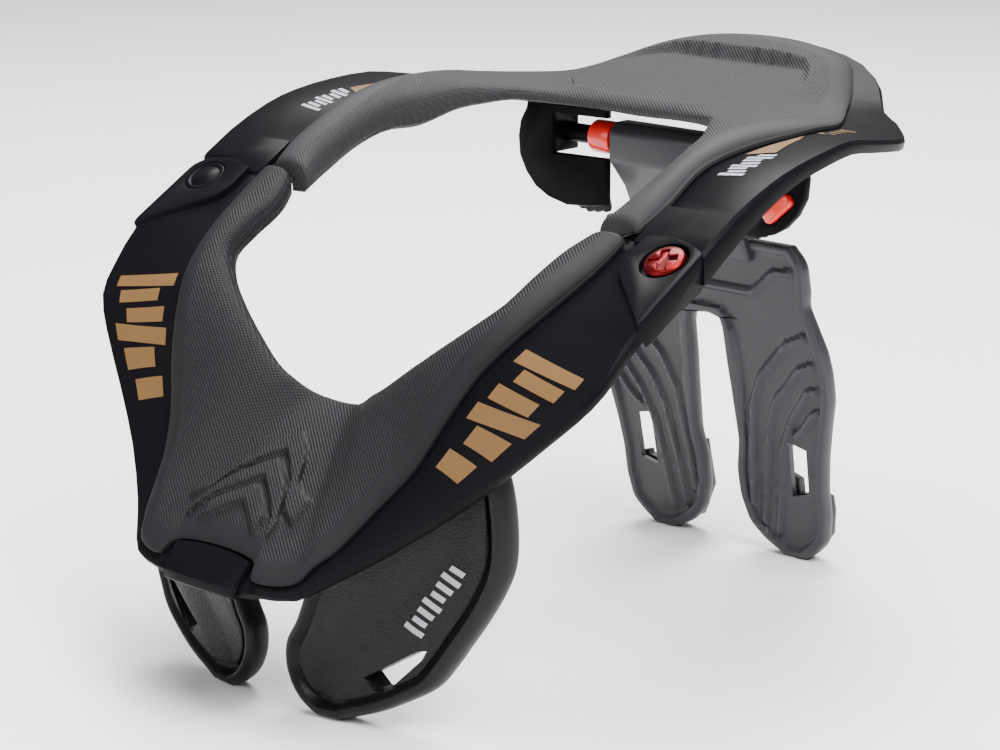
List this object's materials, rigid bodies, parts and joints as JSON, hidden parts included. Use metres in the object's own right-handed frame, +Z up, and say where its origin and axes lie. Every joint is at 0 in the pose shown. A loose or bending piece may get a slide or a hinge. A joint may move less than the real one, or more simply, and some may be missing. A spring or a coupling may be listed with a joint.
{
  "type": "motocross neck brace",
  "caption": "Motocross neck brace: padded collar frame in two hinged halves, with chest wings, a release button and a ribbed back strut.",
  "frame": {"origin": "middle of the bounding box, on the surface that the brace stands on", "axes": "+Z up, -Y towards the wearer's chest, +Y towards the back strut, +X the wearer's left"},
  "size_m": [0.267, 0.3366, 0.2184],
  "materials": {
    "frame_plastic": "fine-grained satin",
    "pad_foam": "embossed moulded foam",
    "wing_skin": "leather-like grain",
    "wing_foam": "moulded foam",
    "strut_plastic": "satin",
    "red_plastic": "glossy",
    "anodised_red": "anodised"
  },
  "bodies": {
    "rear_half": {"rear_frame": "frame_plastic", "rear_pad": "pad_foam", "adjuster_housing_left": "frame_plastic", "adjuster_housing_right": "frame_plastic", "housing_lining_left": "pad_foam", "housing_lining_right": "pad_foam", "pivot_pin_left": "frame_plastic", "pivot_pin_right": "frame_plastic", "pin_sleeve_left": "red_plastic", "pin_sleeve_right": "red_plastic"},
    "front_half": {"front_frame": "frame_plastic", "front_pad": "pad_foam", "front_tab": "frame_plastic", "chest_wing_left": "wing_skin", "chest_wing_right": "wing_skin", "chest_wing_pad_left": "wing_foam", "chest_wing_pad_right": "wing_foam", "hinge_cap": "frame_plastic"},
    "button": {"release_button": "anodised_red"},
    "back_strut": {"back_yoke": "strut_plastic", "leg_pad_left": "strut_plastic", "leg_pad_right": "strut_plastic"},
    "lock": {"lock_tab": "red_plastic"}
  },
  "joints": [
    {"name": "front_half_hinge", "type": "hinge", "parent": "rear_half", "child": "front_half", "pos_m": [-0.12, -0.05169, 0.1727], "axis": [0, 0.4924, -0.8704], "range_deg": [0, 40]},
    {"name": "release_button_press", "type": "slide", "parent": "front_half", "child": "button", "axis": [0, 0.4924, -0.8704], "range_m": [0, 0.0012], "stiffness_N_per_m": 300, "springref_m": -0.004},
    {"name": "back_strut_tilt", "type": "hinge", "parent": "rear_half", "child": "back_strut", "pos_m": [0, 0.09831, 0.179], "axis": [1, 0, 0], "range_deg": [-8, 8]},
    {"name": "lock_tab_press", "type": "slide", "parent": "rear_half", "child": "lock", "axis": [0, 1, 0], "range_m": [0, 0.0012], "stiffness_N_per_m": 300, "springref_m": -0.004}
  ]
}
